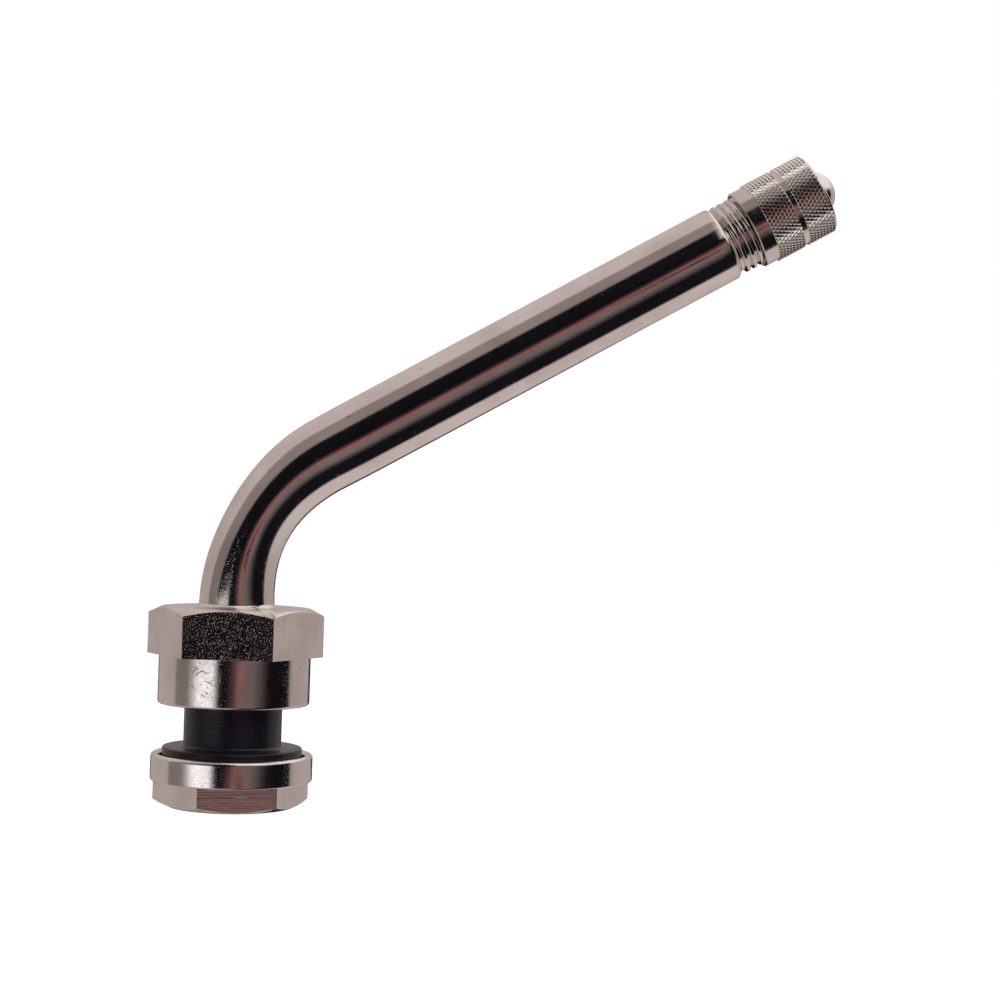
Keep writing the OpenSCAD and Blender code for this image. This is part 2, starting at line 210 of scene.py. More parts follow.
def draw_in(skin):
    # bending flattens the tube in the plane of the bend and lets it spread a little sideways
    for v in skin.data.vertices:
        p = v.co / MM
        turn = math.atan2(p.z - BEND_Z, BEND_R - p.x)
        if turn < 0:
            centre, across, along = Vector((0, 0, p.z)), Vector((-1, 0, 0)), p.z - BEND_Z
        elif turn < BEND_ANGLE:
            across = Vector((-math.cos(turn), 0, math.sin(turn)))
            centre = Vector((BEND_R, 0, BEND_Z)) + across * BEND_R
            along = BEND_R * turn
        else:
            reach = (p - BEND_END).dot(ARM_DIR)
            centre, along = BEND_END + ARM_DIR * reach, BEND_L + reach
            across = Vector((-math.cos(BEND_ANGLE), 0, math.sin(BEND_ANGLE)))
        share = max(0, math.exp(-((along / BEND_L - DRAW_IN_AT) / DRAW_IN_WIDTH) ** 2) - DRAW_IN_CUT)
        off = (p - centre).dot(across)
        squeezed = centre + across * off * (1 - BEND_DRAW_IN * share)
        squeezed.y = p.y * (1 + BEND_DRAW_IN * share * SIDE_SPREAD)
        v.co = squeezed * MM


stem_tube = sweep_tube("stem_tube", TUBE_R, ARM_L - THREAD_L - THREAD_RUNOUT, arm_rings=40)
draw_in(stem_tube)
passage = sweep_tube("passage", PASSAGE_R, ARM_L + SEAT_LOW, arm_rings=6)
tube_foot = turn_on_lathe("tube_foot", [(PASSAGE_R, SOCKET_Z), (TUBE_R, SOCKET_Z)], TUBE_SIDES, closed=False)
mouth_piece = turn_on_lathe("mouth_piece", [
    (TUBE_R, -THREAD_L - THREAD_RUNOUT), (TUBE_R - 0.06, -THREAD_L - 0.12),
    (THREAD_CREST_R - 0.1, -THREAD_L + 0.08), (THREAD_ROOT_R, -THREAD_L + 0.34),
    (THREAD_ROOT_R, -MOUTH_CHAMFER), (THREAD_ROOT_R - MOUTH_CHAMFER, 0), (CORE_ROOM_R + MOUTH_CHAMFER, 0),
    (CORE_ROOM_R, -MOUTH_CHAMFER), (CORE_ROOM_R, SEAT_TOP), (PASSAGE_R, SEAT_LOW)], TUBE_SIDES, closed=False)
move_to_mouth(mouth_piece)
join_pieces(stem_tube, passage, tube_foot, mouth_piece)
bpy.ops.object.mode_set(mode="EDIT")
bpy.ops.mesh.select_all(action="SELECT")
bpy.ops.mesh.remove_doubles(threshold=SEAM_GAP)
stem_tube = finish_mesh("stem_tube")
mouth_thread = wind_thread(
    "mouth_thread", THREAD_ROOT_R, THREAD_CREST_R, THREAD_PITCH, low=-THREAD_L + 0.25, high=-0.2)
move_to_mouth(mouth_thread)
join_pieces(stem_tube, mouth_thread)
smooth(stem_tube, 35)


def node(tree, kind, inputs=None, **settings):
    made = tree.nodes.new(kind)
    for key, value in settings.items():
        setattr(made, key, value)
    for key, value in (inputs or {}).items():
        if isinstance(value, bpy.types.NodeSocket):
            tree.links.new(value, made.inputs[key])
        else:
            made.inputs[key].default_value = value
    return made


def new_finish(name, **sockets):
    finish = bpy.data.materials.new(name)
    finish.use_nodes = True
    shader = finish.node_tree.nodes["Principled BSDF"]
    for key, value in sockets.items():
        shader.inputs[key.replace("_", " ")].default_value = value
    return finish, finish.node_tree, shader


def place_mm(tree, stretch=(1, 1, 1), turn=(0, 0, 0)):
    # the piece's own place in millimetres, turned and then stretched for lines that follow a direction
    spot = node(tree, "ShaderNodeTexCoord").outputs["Object"]
    scale = tuple(MM / s for s in stretch)
    made = node(tree, "ShaderNodeMapping", {"Vector": spot, "Scale": scale, "Rotation": turn},
                vector_type="TEXTURE")
    return made.outputs["Vector"]


def noise(tree, vector, scale, detail=3, roughness=0.55):
    made = node(tree, "ShaderNodeTexNoise",
                {"Vector": vector, "Scale": scale, "Detail": detail, "Roughness": roughness})
    return made.outputs["Fac"]


def spread(tree, value, low, high, to_low=0.0, to_high=1.0, kind="SMOOTHSTEP"):
    made = node(tree, "ShaderNodeMapRange",
                {"Value": value, "From Min": low, "From Max": high, "To Min": to_low, "To Max": to_high},
                interpolation_type=kind)
    return made.outputs["Result"]


def maths(tree, operation, a, b=0.0):
    made = node(tree, "ShaderNodeMath", operation=operation)
    for socket, value in zip(made.inputs, (a, b)):
        if isinstance(value, bpy.types.NodeSocket):
            tree.links.new(value, socket)
        else:
            socket.default_value = value
    return made.outputs[0]


def blend_colour(tree, share, first, second):
    made = node(tree, "ShaderNodeMix", data_type="RGBA")
    for index, value in ((0, share), (6, first), (7, second)):
        if isinstance(value, bpy.types.NodeSocket):
            tree.links.new(value, made.inputs[index])
        else:
            made.inputs[index].default_value = value
    return made.outputs[2]


def emboss(tree, height, depth_mm, strength=1.0, under=None):
    inputs = {"Height": height, "Distance": depth_mm * MM, "Strength": strength}
    if under is not None:
        inputs["Normal"] = under
    return node(tree, "ShaderNodeBump", inputs).outputs["Normal"]


NICKEL_WARM = (0.80, 0.765, 0.725, 1)
NICKEL_DULL = (0.70, 0.655, 0.61, 1)
STAIN = (0.20, 0.15, 0.12, 1)


def nickel_plate(name, grain_low, grain_high, zone, grain_mm, dull):
    # bright plating: coarse grain of the metal under it, more or less of it from one height to
    # another, small pits, a few handling scratches and stains
    finish, tree, shader = new_finish(name, Metallic=1.0)
    spot = place_mm(tree)
    tone = spread(tree, noise(tree, spot, 0.22, 4), 0.35, 0.7)
    stains = spread(tree, noise(tree, spot, 1.9, 2), 0.735, 0.775)
    colour = blend_colour(tree, tone, NICKEL_WARM, NICKEL_DULL)
    colour = blend_colour(tree, stains, colour, STAIN)
    tree.links.new(colour, shader.inputs["Base Color"])
    scratch = spread(tree, noise(tree, place_mm(tree, (0.5, 3, 9), (0.3, 0.5, 0.9)), 2.2, 2), 0.70, 0.75)
    rough = spread(tree, noise(tree, spot, 1.1, 5), 0.3, 0.75, dull * 0.55, dull * 1.6)
    rough = maths(tree, "ADD", rough, maths(tree, "MULTIPLY", scratch, 0.12))
    tree.links.new(rough, shader.inputs["Roughness"])
    height = node(tree, "ShaderNodeSeparateXYZ", {"Vector": spot}).outputs["Z"]
    share = spread(tree, height, *zone, grain_low, grain_high)
    grain = spread(tree, noise(tree, spot, 7.5, 2, 0.6), 0.58, 0.77)
    pits = node(tree, "ShaderNodeTexVoronoi", {"Vector": spot, "Scale": 1.6, "Randomness": 1.0})
    pits = spread(tree, pits.outputs["Distance"], 0.03, 0.11)
    under = emboss(tree, grain, grain_mm, share)
    under = emboss(tree, pits, depth_mm=0.012, strength=0.5, under=under)
    under = emboss(tree, maths(tree, "MULTIPLY", scratch, -1.0), depth_mm=0.003, strength=0.5, under=under)
    tree.links.new(under, shader.inputs["Normal"])
    return finish


def dress(piece, finish, body, slot, *nodes):
    piece.data.materials.clear()
    piece.data.materials.append(finish)
    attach(piece, body)
    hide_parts(*nodes)


tube_nickel = nickel_plate(
    "tube_nickel", grain_low=0.8, grain_high=0.15, zone=(12, 24), grain_mm=0.006, dull=0.08)
dress(stem_tube, tube_nickel, "stem", "nickel", "bent_tube")

# Hexagon, collar and nipple: turned from one hexagonal brass bar and plated with the tube. The
# collar sits on the rim, the threaded nipple goes through it, and braze fills the tube's foot.
HEX_AF = 15.875
HEX_TURN = math.radians(1)
HEX_LAND_R = 7.7
HEX_SLOPE = math.radians(26)
COLLAR_R = 7.875
COLLAR_H = 5.05
RECESS_R = 5.325
RECESS_L = 1.4
NIPPLE_R = 4.0
NIPPLE_ROOT_R = 3.55
NIPPLE_Z = -10.19
NIPPLE_PITCH = 1.0
NIPPLE_CHAMFER = 0.25
COLLAR_EDGE_R = 0.3
OVERLAP = 0.05
SOCKET_GAP = 0.04
BRAZE_R = 0.8
BRAZE_WALL_R = 3.85
BRAZE_L = 0.6
SCRATCHES_AT = (-2.1, -7.6, 2.9)
SCRATCHES_R = 2.0


def soften(piece, width, angle=25, segments=3):
    use_modifier(piece, "BEVEL", width=width * MM, segments=segments, limit_method="ANGLE",
                 angle_limit=math.radians(angle), use_clamp_overlap=True)


def level_flats(piece):
    # flats stay flat in the light, and only the narrow rounded edges turn
    use_modifier(piece, "WEIGHTED_NORMAL", keep_sharp=True, weight=100, mode="FACE_AREA")


def combine(piece, tool, operation):
    use_modifier(piece, "BOOLEAN", object=tool, operation=operation, solver="EXACT")
    bpy.data.objects.remove(tool)


def arc(centre_r, centre_z, radius, start, end, count=8):
    angles = [math.radians(start + (end - start) * i / count) for i in range(count + 1)]
    return [(centre_r + radius * math.cos(a), centre_z + radius * math.sin(a)) for a in angles]


def hexagon(name, across_flats, low, high, turn):
    deselect_all()
    bpy.ops.mesh.primitive_cylinder_add(
        vertices=6, radius=across_flats / math.sqrt(3) * MM, depth=(high - low) * MM,
        location=(0, 0, (low + high) / 2 * MM), rotation=(0, 0, turn + math.pi / 6))
    bpy.ops.object.transform_apply(location=True, rotation=True, scale=True)
    piece = bpy.context.object
    piece.name = piece.data.name = name
    return piece


hex_collar = hexagon("hex_collar", HEX_AF, COLLAR_H, HEX_TOP_Z + 2 * BRAZE_R, HEX_TURN)
slope_low = HEX_TOP_Z - (HEX_AF - HEX_LAND_R) * math.tan(HEX_SLOPE)
hex_top = turn_on_lathe("hex_top", [
    (0, 0), (HEX_AF, 0), (HEX_AF, slope_low), (HEX_LAND_R, HEX_TOP_Z),
    *arc(BRAZE_WALL_R + BRAZE_R, HEX_TOP_Z + BRAZE_R, BRAZE_R, 270, 183, 10), (0, HEX_TOP_Z + BRAZE_R)])
combine(hex_collar, hex_top, "INTERSECT")
soften(hex_collar, width=0.22, angle=20)
collar = turn_on_lathe("collar", [
    (0, NIPPLE_Z), (NIPPLE_ROOT_R - NIPPLE_CHAMFER, NIPPLE_Z), (NIPPLE_ROOT_R, NIPPLE_Z + NIPPLE_CHAMFER),
    (NIPPLE_ROOT_R, 0.2), (NIPPLE_R, 0.6), (NIPPLE_R, RECESS_L), (RECESS_R, RECESS_L), (RECESS_R, 0),
    *arc(COLLAR_R - COLLAR_EDGE_R, COLLAR_EDGE_R, COLLAR_EDGE_R, 270, 360), (COLLAR_R, COLLAR_H + OVERLAP),
    (COLLAR_R - 1, COLLAR_H + OVERLAP), (COLLAR_R - 1, COLLAR_H + 1), (0, COLLAR_H + 1)])
combine(hex_collar, collar, "UNION")
bore = turn_on_lathe("bore", [
    (0, NIPPLE_Z - 1), (PASSAGE_R, NIPPLE_Z - 1), (PASSAGE_R, SOCKET_Z), (TUBE_R + SOCKET_GAP, SOCKET_Z),
    (TUBE_R + SOCKET_GAP, HEX_TOP_Z - BRAZE_L), (BRAZE_WALL_R - 0.1, HEX_TOP_Z - BRAZE_L),
    (BRAZE_WALL_R - 0.1, HEX_TOP_Z + 2), (0, HEX_TOP_Z + 2)])
combine(hex_collar, bore, "DIFFERENCE")
nipple_thread = wind_thread(
    "nipple_thread", NIPPLE_ROOT_R, NIPPLE_R, NIPPLE_PITCH, low=NIPPLE_Z + 0.2, high=-0.6)
join_pieces(hex_collar, nipple_thread)
smooth(hex_collar, 28)
level_flats(hex_collar)


def scratched_nickel(name):
    # as the rest of the plating, with a few short curved scratches on the collar's front
    zone = (COLLAR_H - 0.1, COLLAR_H + 0.1)
    finish = nickel_plate(name, grain_low=0.35, grain_high=1.0, zone=zone, grain_mm=0.016, dull=0.10)
    tree = finish.node_tree
    shader = tree.nodes["Principled BSDF"]
    away = node(tree, "ShaderNodeVectorMath", {0: place_mm(tree), 1: SCRATCHES_AT}, operation="DISTANCE")
    patch = spread(tree, away.outputs["Value"], SCRATCHES_R, SCRATCHES_R * 0.6)
    under = shader.inputs["Normal"].links[0].from_socket
    wander = maths(tree, "SUBTRACT", noise(tree, place_mm(tree), 0.85, 1), 0.5)
    lines = spread(tree, maths(tree, "ABSOLUTE", wander), 0.03, 0)
    short = spread(tree, noise(tree, place_mm(tree), 1.7, 1), 0.48, 0.56)
    scratches = maths(tree, "MULTIPLY", maths(tree, "MULTIPLY", lines, short), patch)
    under = emboss(tree, scratches, depth_mm=0.008, under=under)
    tree.links.new(under, shader.inputs["Normal"])
    rough = shader.inputs["Roughness"].links[0].from_socket
    rough = maths(tree, "ADD", rough, maths(tree, "MULTIPLY", scratches, 0.3))
    tree.links.new(rough, shader.inputs["Roughness"])
    return finish


dress(hex_collar, scratched_nickel("hex_nickel"), "stem", "nickel", "hex_body")

# Rubber grommet: a sleeve with a flange, moulded in one piece in black rubber. It is pushed over
# the nipple, and the foot nut squeezes it against the inside of the rim.
SLEEVE_R = 5.075
SLEEVE_TOP = 0.8
GROMMET_BORE_R = 4.1
FLANGE_R = 7.25
FLANGE_Z = -4.5
FLANGE_LOW = -6.7
SLEEVE_FILLET = 0.25
SLEEVE_TAPER = 0.3
RUBBER_BLACK = (0.006, 0.0057, 0.009, 1)
RUBBER_DUSTY = (0.016, 0.0152, 0.021, 1)

rubber_grommet = turn_on_lathe("rubber_grommet", [
    (GROMMET_BORE_R, FLANGE_LOW), (FLANGE_R, FLANGE_LOW), (FLANGE_R, FLANGE_Z),
    (SLEEVE_R + SLEEVE_FILLET, FLANGE_Z), (SLEEVE_R, FLANGE_Z + SLEEVE_FILLET), (SLEEVE_R, 0),
    (SLEEVE_R - SLEEVE_TAPER, SLEEVE_TOP), (GROMMET_BORE_R, SLEEVE_TOP)])
soften(rubber_grommet, width=0.16, angle=20)
smooth(rubber_grommet, 40)


def moulded_rubber(name):
    # satin black, with the fine lines of the turned mould and dust in its pores
    finish, tree, shader = new_finish(name)
    spot = place_mm(tree)
    dust = spread(tree, noise(tree, spot, 2.4, 5, 0.65), 0.5, 0.8)
    tree.links.new(blend_colour(tree, dust, RUBBER_BLACK, RUBBER_DUSTY), shader.inputs["Base Color"])
    rough = spread(tree, noise(tree, spot, 1.3, 4), 0.3, 0.7, 0.25, 0.36)
    tree.links.new(rough, shader.inputs["Roughness"])
    shader.inputs["Specular IOR Level"].default_value = 0.4
    lines = noise(tree, place_mm(tree, (0.15, 0.15, 6)), 1.0, 2)
    under = emboss(tree, lines, depth_mm=0.035, strength=0.6)
    under = emboss(tree, noise(tree, spot, 9, 3), depth_mm=0.012, strength=0.5, under=under)
    tree.links.new(under, shader.inputs["Normal"])
    return finish


black_rubber = moulded_rubber("black_rubber")
dress(rubber_grommet, black_rubber, "grommet", "rubber", "grommet")

# Foot nut: a round cup over a short hexagon, turned from bar, milled and plated. It is screwed on
# the nipple from inside the wheel, and its rim holds the grommet's flange.
CUP_R = 8.4
CUP_TOP = -5.14
CUP_LOW = -7.94
POCKET_R = 7.6
POCKET_Z = -6.72
FOOT_AF = 14.0
FOOT_Z = -10.59
FOOT_TURN = math.radians(12)
FOOT_LAND_R = 6.6
FOOT_SLOPE = math.radians(24)
NUT_CREST_R = 4.05
NUT_ROOT_R = 4.4
NUT_THREAD_POINTS = 9
CUP_EDGE_R = 0.2
CUP_FLOOR_R = 6

cup_nut = hexagon("cup_nut", FOOT_AF, FOOT_Z, CUP_LOW + 0.6, FOOT_TURN)
slope_top = FOOT_Z + (FOOT_AF - FOOT_LAND_R) * math.tan(FOOT_SLOPE)
underside = turn_on_lathe("foot_slope", [
    (0, FOOT_Z), (FOOT_LAND_R, FOOT_Z), (FOOT_AF, slope_top), (FOOT_AF, 0), (0, 0)])
combine(cup_nut, underside, "INTERSECT")
soften(cup_nut, width=0.16, angle=18)
rim_r = (CUP_R - POCKET_R) / 2
cup = turn_on_lathe("cup", [
    (0, CUP_LOW - 0.2), (CUP_FLOOR_R, CUP_LOW - 0.2), (CUP_FLOOR_R, CUP_LOW),
    *arc(CUP_R - CUP_EDGE_R, CUP_LOW + CUP_EDGE_R, CUP_EDGE_R, 270, 360, 5),
    *arc(POCKET_R + rim_r, CUP_TOP - rim_r, rim_r, 0, 180, 12), (POCKET_R, POCKET_Z), (0, POCKET_Z)])
combine(cup_nut, cup, "UNION")
nut_turns = [(NUT_CREST_R if i % 2 else NUT_ROOT_R, FOOT_Z + 0.1 + NIPPLE_PITCH / 2 * i)
             for i in range(NUT_THREAD_POINTS)]
nut_bore = turn_on_lathe("nut_bore", [
    (0, FOOT_Z - 1), (NUT_ROOT_R + 0.1, FOOT_Z - 1), *nut_turns, (NUT_ROOT_R, 0), (0, 0)])
combine(cup_nut, nut_bore, "DIFFERENCE")
smooth(cup_nut, 28)
level_flats(cup_nut)


def milled_nickel(name):
    # as the rest of the plating, with the cutter's lines along the flats of the foot
    finish = nickel_plate(
        name, grain_low=0.3, grain_high=0.25, zone=(FOOT_Z, CUP_TOP), grain_mm=0.022, dull=0.10)
    tree = finish.node_tree
    shader = tree.nodes["Principled BSDF"]
    height = node(tree, "ShaderNodeSeparateXYZ", {"Vector": place_mm(tree)}).outputs["Z"]
    flats = spread(tree, height, CUP_LOW - 0.1, CUP_LOW, 1, 0, "LINEAR")
    under = shader.inputs["Normal"].links[0].from_socket
    for fineness, depth in ((3.2, 0.055), (11, 0.02)):
        lines = noise(tree, place_mm(tree, (0.015, 0.015, 1)), fineness, 2, 0.6)
        under = emboss(tree, maths(tree, "MULTIPLY", lines, flats), depth, under=under)
    tree.links.new(under, shader.inputs["Normal"])
    return finish


dress(cup_nut, milled_nickel("foot_nickel"), "foot_nut", "nickel", "foot_nut")

# Screw cap: turned from brass, knurled in two bands and plated, with a plain skirt, a groove
# between the bands and a dome. Its thread runs on the mouth of the tube.
CAP_OPEN = -6.61
CAP_END = 1.84
CAP_ROOF = 1.04
CAP_BORE_R = 3.9
CAP_R = 4.4
CAP_LOW_R = 4.24
CAP_SIDES = 128
BAND_ROWS = 8
BAND_L = 2.975
BAND_FIRST = -5.01
BAND_SECOND = -1.435
KNURL_DEPTH = 0.1
KNURL_TOP = 0.45
BAND_STEP = 0.05
CAP_CHAMFER = 0.1
CAP_THREAD_POINTS = 18
END_RIM_R = 0.3
DOME_R = 2.4
DOME_H = 1.75
dome_ball = (DOME_R ** 2 + DOME_H ** 2) / (2 * DOME_H)
dome_turn = math.degrees(math.asin(DOME_R / dome_ball))


def band_rows(start):
    return [(CAP_R, start + BAND_L * j / BAND_ROWS) for j in range(BAND_ROWS + 1)]


cap_turns = [(CAP_BORE_R if i % 2 else CAP_BORE_R + 0.2, CAP_ROOF - 0.2 - THREAD_PITCH / 2 * i)
             for i in range(CAP_THREAD_POINTS)]
knurled_cap = turn_on_lathe("knurled_cap", [
    (0, CAP_ROOF), (CAP_BORE_R, CAP_ROOF), *cap_turns, (CAP_BORE_R + 0.15, CAP_OPEN),
    (CAP_LOW_R - CAP_CHAMFER, CAP_OPEN), (CAP_LOW_R, CAP_OPEN + CAP_CHAMFER),
    (CAP_LOW_R, BAND_FIRST - BAND_STEP), *band_rows(BAND_FIRST),
    (CAP_LOW_R, BAND_FIRST + BAND_L + BAND_STEP), (CAP_LOW_R, BAND_SECOND - BAND_STEP),
    *band_rows(BAND_SECOND), (CAP_LOW_R, CAP_END - END_RIM_R + BAND_STEP),
    *arc(CAP_LOW_R - END_RIM_R, CAP_END - END_RIM_R, END_RIM_R, 15, 90, 8), (DOME_R + 0.08, CAP_END),
    *arc(0, CAP_END + DOME_H - dome_ball, dome_ball, 90 - dome_turn + 2, 90, 12)], CAP_SIDES)
# every second crossing of the bands' grid is pressed in, and the tips between are cut flat
for v in knurled_cap.data.vertices:
    r, turn = math.hypot(v.co.x, v.co.y) / MM, math.atan2(v.co.y, v.co.x)
    for start in (BAND_FIRST, BAND_SECOND):
        row = (v.co.z / MM - start) / BAND_L * BAND_ROWS
        if r > CAP_R - 0.01 and -0.01 < row < BAND_ROWS + 0.01:
            crossing = (round(row) + round(turn / (2 * math.pi) * CAP_SIDES)) % 2
            lift = -KNURL_DEPTH if crossing else KNURL_DEPTH * KNURL_TOP / (1 - KNURL_TOP)
            v.co.x *= 1 + lift / r
            v.co.y *= 1 + lift / r
pick(knurled_cap)
for face in knurled_cap.data.polygons:
    middle = face.center / MM
    face.select = math.hypot(middle.x, middle.y) > CAP_R - KNURL_DEPTH and any(
        start < middle.z < start + BAND_L for start in (BAND_FIRST, BAND_SECOND))
bpy.ops.object.mode_set(mode="EDIT")
bpy.ops.mesh.quads_convert_to_tris(quad_method="SHORTEST_DIAGONAL")
bpy.ops.mesh.select_all(action="DESELECT")
bpy.ops.object.mode_set(mode="OBJECT")
for v in knurled_cap.data.vertices:
    v.select = math.hypot(v.co.x, v.co.y) / MM > CAP_R + KNURL_DEPTH / 4
bpy.ops.object.mode_set(mode="EDIT")
bpy.ops.mesh.bevel(offset_type="PERCENT", offset_pct=KNURL_TOP * 100, segments=1, affect="VERTICES")
bpy.ops.object.mode_set(mode="OBJECT")
smooth(knurled_cap, 11)
move_to_mouth(knurled_cap)
cap_nickel = nickel_plate(
    "cap_nickel", grain_low=0.2, grain_high=0.2, zone=(40, 60), grain_mm=0.02, dull=0.11)
dress(knurled_cap, cap_nickel, "cap", "nickel", "cap_shell")

# Seal of the cap: a disc punched from black rubber sheet, pressed into the cap's roof. The mouth
# of the tube has marked it with a shallow ring.
DISC_R = 3.75
DISC_LOW = 0.02
DISC_TOP = 1.02
MARK_Z = 0.06

cap_disc = turn_on_lathe("cap_disc", [
    (0, DISC_LOW), (2.6, DISC_LOW), (2.8, MARK_Z), (3.15, MARK_Z), (3.35, DISC_LOW),
    (DISC_R, DISC_LOW), (DISC_R, DISC_TOP), (0, DISC_TOP)])
soften(cap_disc, width=0.06, angle=40)
smooth(cap_disc, 40)
move_to_mouth(cap_disc)
dress(cap_disc, black_rubber, "cap_seal", "rubber", "cap_seal")

# Plug of the valve core: turned brass with a fine thread and two ears for the driver. It is
# screwed into the mouth and holds the barrel against its seat.
PLUG_TOP = -0.9
EAR_LOW = -2.6
PLUG_LOW = -5.2
PLUG_R = 2.6
EAR_R = 2.3
EAR_W = 3.0
EAR_SUNK = 0.3
EAR_SET_IN = 0.03
SPRING_ROOM_R = 1.35
SPIGOT_ROOM_R = 1.62
SPIGOT_ROOM_Z = -4.28
PLUG_THREAD_POINTS = 8
PLUG_THREAD_STEP = 0.3
CORE_SIDES = 96
BRASS = (0.76, 0.60, 0.28, 1)
BRASS_DARK = (0.60, 0.44, 0.19, 1)


def bare_metal(name, colour, dark, lines_mm=0.02):
    # turned or drawn metal with no plating, and the tool's fine rings round the axis of the mouth
    finish, tree, shader = new_finish(name, Metallic=1.0)
    spot = place_mm(tree)
    tone = spread(tree, noise(tree, spot, 1.4, 4), 0.35, 0.7)
    tree.links.new(blend_colour(tree, tone, colour, dark), shader.inputs["Base Color"])
    rough = spread(tree, noise(tree, spot, 3.0, 3), 0.3, 0.7, 0.2, 0.38)
    tree.links.new(rough, shader.inputs["Roughness"])
    rings = noise(tree, place_mm(tree, (0.1, 0.1, 9), (0, BEND_ANGLE, 0)), 1.0, 2)
    tree.links.new(emboss(tree, rings, lines_mm, strength=0.5), shader.inputs["Normal"])
    return finish


core_brass = bare_metal("core_brass", BRASS, BRASS_DARK)
plug_turns = [(PLUG_R if i % 2 else PLUG_R - 0.2, PLUG_LOW + 0.2 + PLUG_THREAD_STEP * i)
              for i in range(PLUG_THREAD_POINTS)]
eared_plug = turn_on_lathe("eared_plug", [
    (SPRING_ROOM_R, EAR_LOW), (SPRING_ROOM_R, SPIGOT_ROOM_Z), (SPIGOT_ROOM_R, SPIGOT_ROOM_Z),
    (SPIGOT_ROOM_R, PLUG_LOW), (EAR_R, PLUG_LOW), *plug_turns, (EAR_R, EAR_LOW)], CORE_SIDES)
ear_in, ear_out, ear_foot = SPRING_ROOM_R + EAR_SET_IN, EAR_R - EAR_SET_IN, EAR_LOW - EAR_SUNK
ears = turn_on_lathe("ears", [
    (ear_in, ear_foot), (ear_out, ear_foot), (ear_out, PLUG_TOP), (ear_in, PLUG_TOP)], CORE_SIDES)
pick(ears)
bpy.ops.object.mode_set(mode="EDIT")
for side in (1, -1):
    bpy.ops.mesh.select_all(action="SELECT")
    bpy.ops.mesh.bisect(plane_co=(0, side * EAR_W / 2 * MM, 0), plane_no=(0, side, 0),
                        use_fill=True, clear_outer=True)
bpy.ops.object.mode_set(mode="OBJECT")
combine(eared_plug, ears, "UNION")
smooth(eared_plug, 30)
move_to_mouth(eared_plug)
dress(eared_plug, core_brass, "stem", "core_brass", "core_plug")

# Barrel of the core and its gasket: a turned brass tube with a spigot in the plug, and a white
# plastic cone that seals it in the tube.
BARREL_R = 1.6
BARREL_LAND_R = 2.0
BARREL_NOSE_R = 1.3
BARREL_BORE_R = 0.85
BARREL_LOW = -10.32
BARREL_NOSE_Z = -9.72
BARREL_STEP_Z = -7.3
BARREL_LAND_TOP = -5.22
SPIGOT_TOP = -4.32
SPRING_FLOOR_Z = -6.27
GASKET_BORE_R = 1.62
GASKET_LOW = -8.28
GASKET_LOW_R = 1.8
GASKET_TOP_R = 2.57
GASKET_WHITE = (0.86, 0.85, 0.80, 1)
GASKET_DULL = (0.74, 0.72, 0.66, 1)

valve_barrel = turn_on_lathe("valve_barrel", [
    (BARREL_BORE_R, BARREL_LOW), (BARREL_NOSE_R, BARREL_LOW), (BARREL_R, BARREL_NOSE_Z),
    (BARREL_R, BARREL_STEP_Z), (BARREL_LAND_R, BARREL_STEP_Z), (BARREL_LAND_R, BARREL_LAND_TOP),
    (BARREL_R, BARREL_LAND_TOP), (BARREL_R, SPIGOT_TOP), (SPRING_ROOM_R, SPIGOT_TOP),
    (SPRING_ROOM_R, SPRING_FLOOR_Z), (BARREL_BORE_R, SPRING_FLOOR_Z)], sides=72)
soften(valve_barrel, width=0.06, angle=30, segments=2)
smooth(valve_barrel)
move_to_mouth(valve_barrel)
dress(valve_barrel, core_brass, "stem", "core_brass", "core_barrel")


def white_plastic(name):
    # matt white, a little yellowed, with fine pores
    finish, tree, shader = new_finish(name)
    spot = place_mm(tree)
    tone = spread(tree, noise(tree, spot, 2.0, 4), 0.3, 0.75)
    tree.links.new(blend_colour(tree, tone, GASKET_WHITE, GASKET_DULL), shader.inputs["Base Color"])
    rough = spread(tree, noise(tree, spot, 4.0, 3), 0.3, 0.7, 0.4, 0.55)
    tree.links.new(rough, shader.inputs["Roughness"])
    pores = emboss(tree, noise(tree, spot, 8, 3), depth_mm=0.01, strength=0.4)
    tree.links.new(pores, shader.inputs["Normal"])
    return finish


cone_gasket = turn_on_lathe("cone_gasket", [
    (GASKET_BORE_R, GASKET_LOW), (GASKET_LOW_R, GASKET_LOW), (GASKET_TOP_R, SEAT_TOP),
    (GASKET_BORE_R, SEAT_TOP)], sides=72)
soften(cone_gasket, width=0.06, angle=30, segments=2)
smooth(cone_gasket)
move_to_mouth(cone_gasket)
dress(cone_gasket, white_plastic("gasket_white"), "stem", "gasket", "barrel_gasket")

# Pin of the core with its plunger: a brass wire with an upset head and a collar for the spring,
# riveted to a pressed cup at its inner end. A rubber ring in the cup closes the barrel.
PIN_R = 0.5
PIN_LOW = -12.66
PIN_TOP = -0.35
RIVET_R = 0.75
RIVET_TOP = -12.26
PIN_COLLAR_R = 1.15
PIN_COLLAR_LOW = -2.25
PIN_COLLAR_TOP = -1.85
PIN_HEAD_R = 0.8
PIN_NECK_Z = -1.15
PIN_HEAD_LOW = -0.65
PIN_HEAD_EDGE = -0.5
PLUNGER_R = 1.5
PLUNGER_LOW_R = 1.2
PLUNGER_BORE_R = 0.52
PLUNGER_ROOM_R = 1.25
PLUNGER_LOW = -12.24
PLUNGER_EDGE_Z = -11.94
PLUNGER_TOP = -10.64
PLUNGER_FLOOR_Z = -11.36
RING_R = 1.23
RING_LOW = -11.34
RING_TOP = -10.34

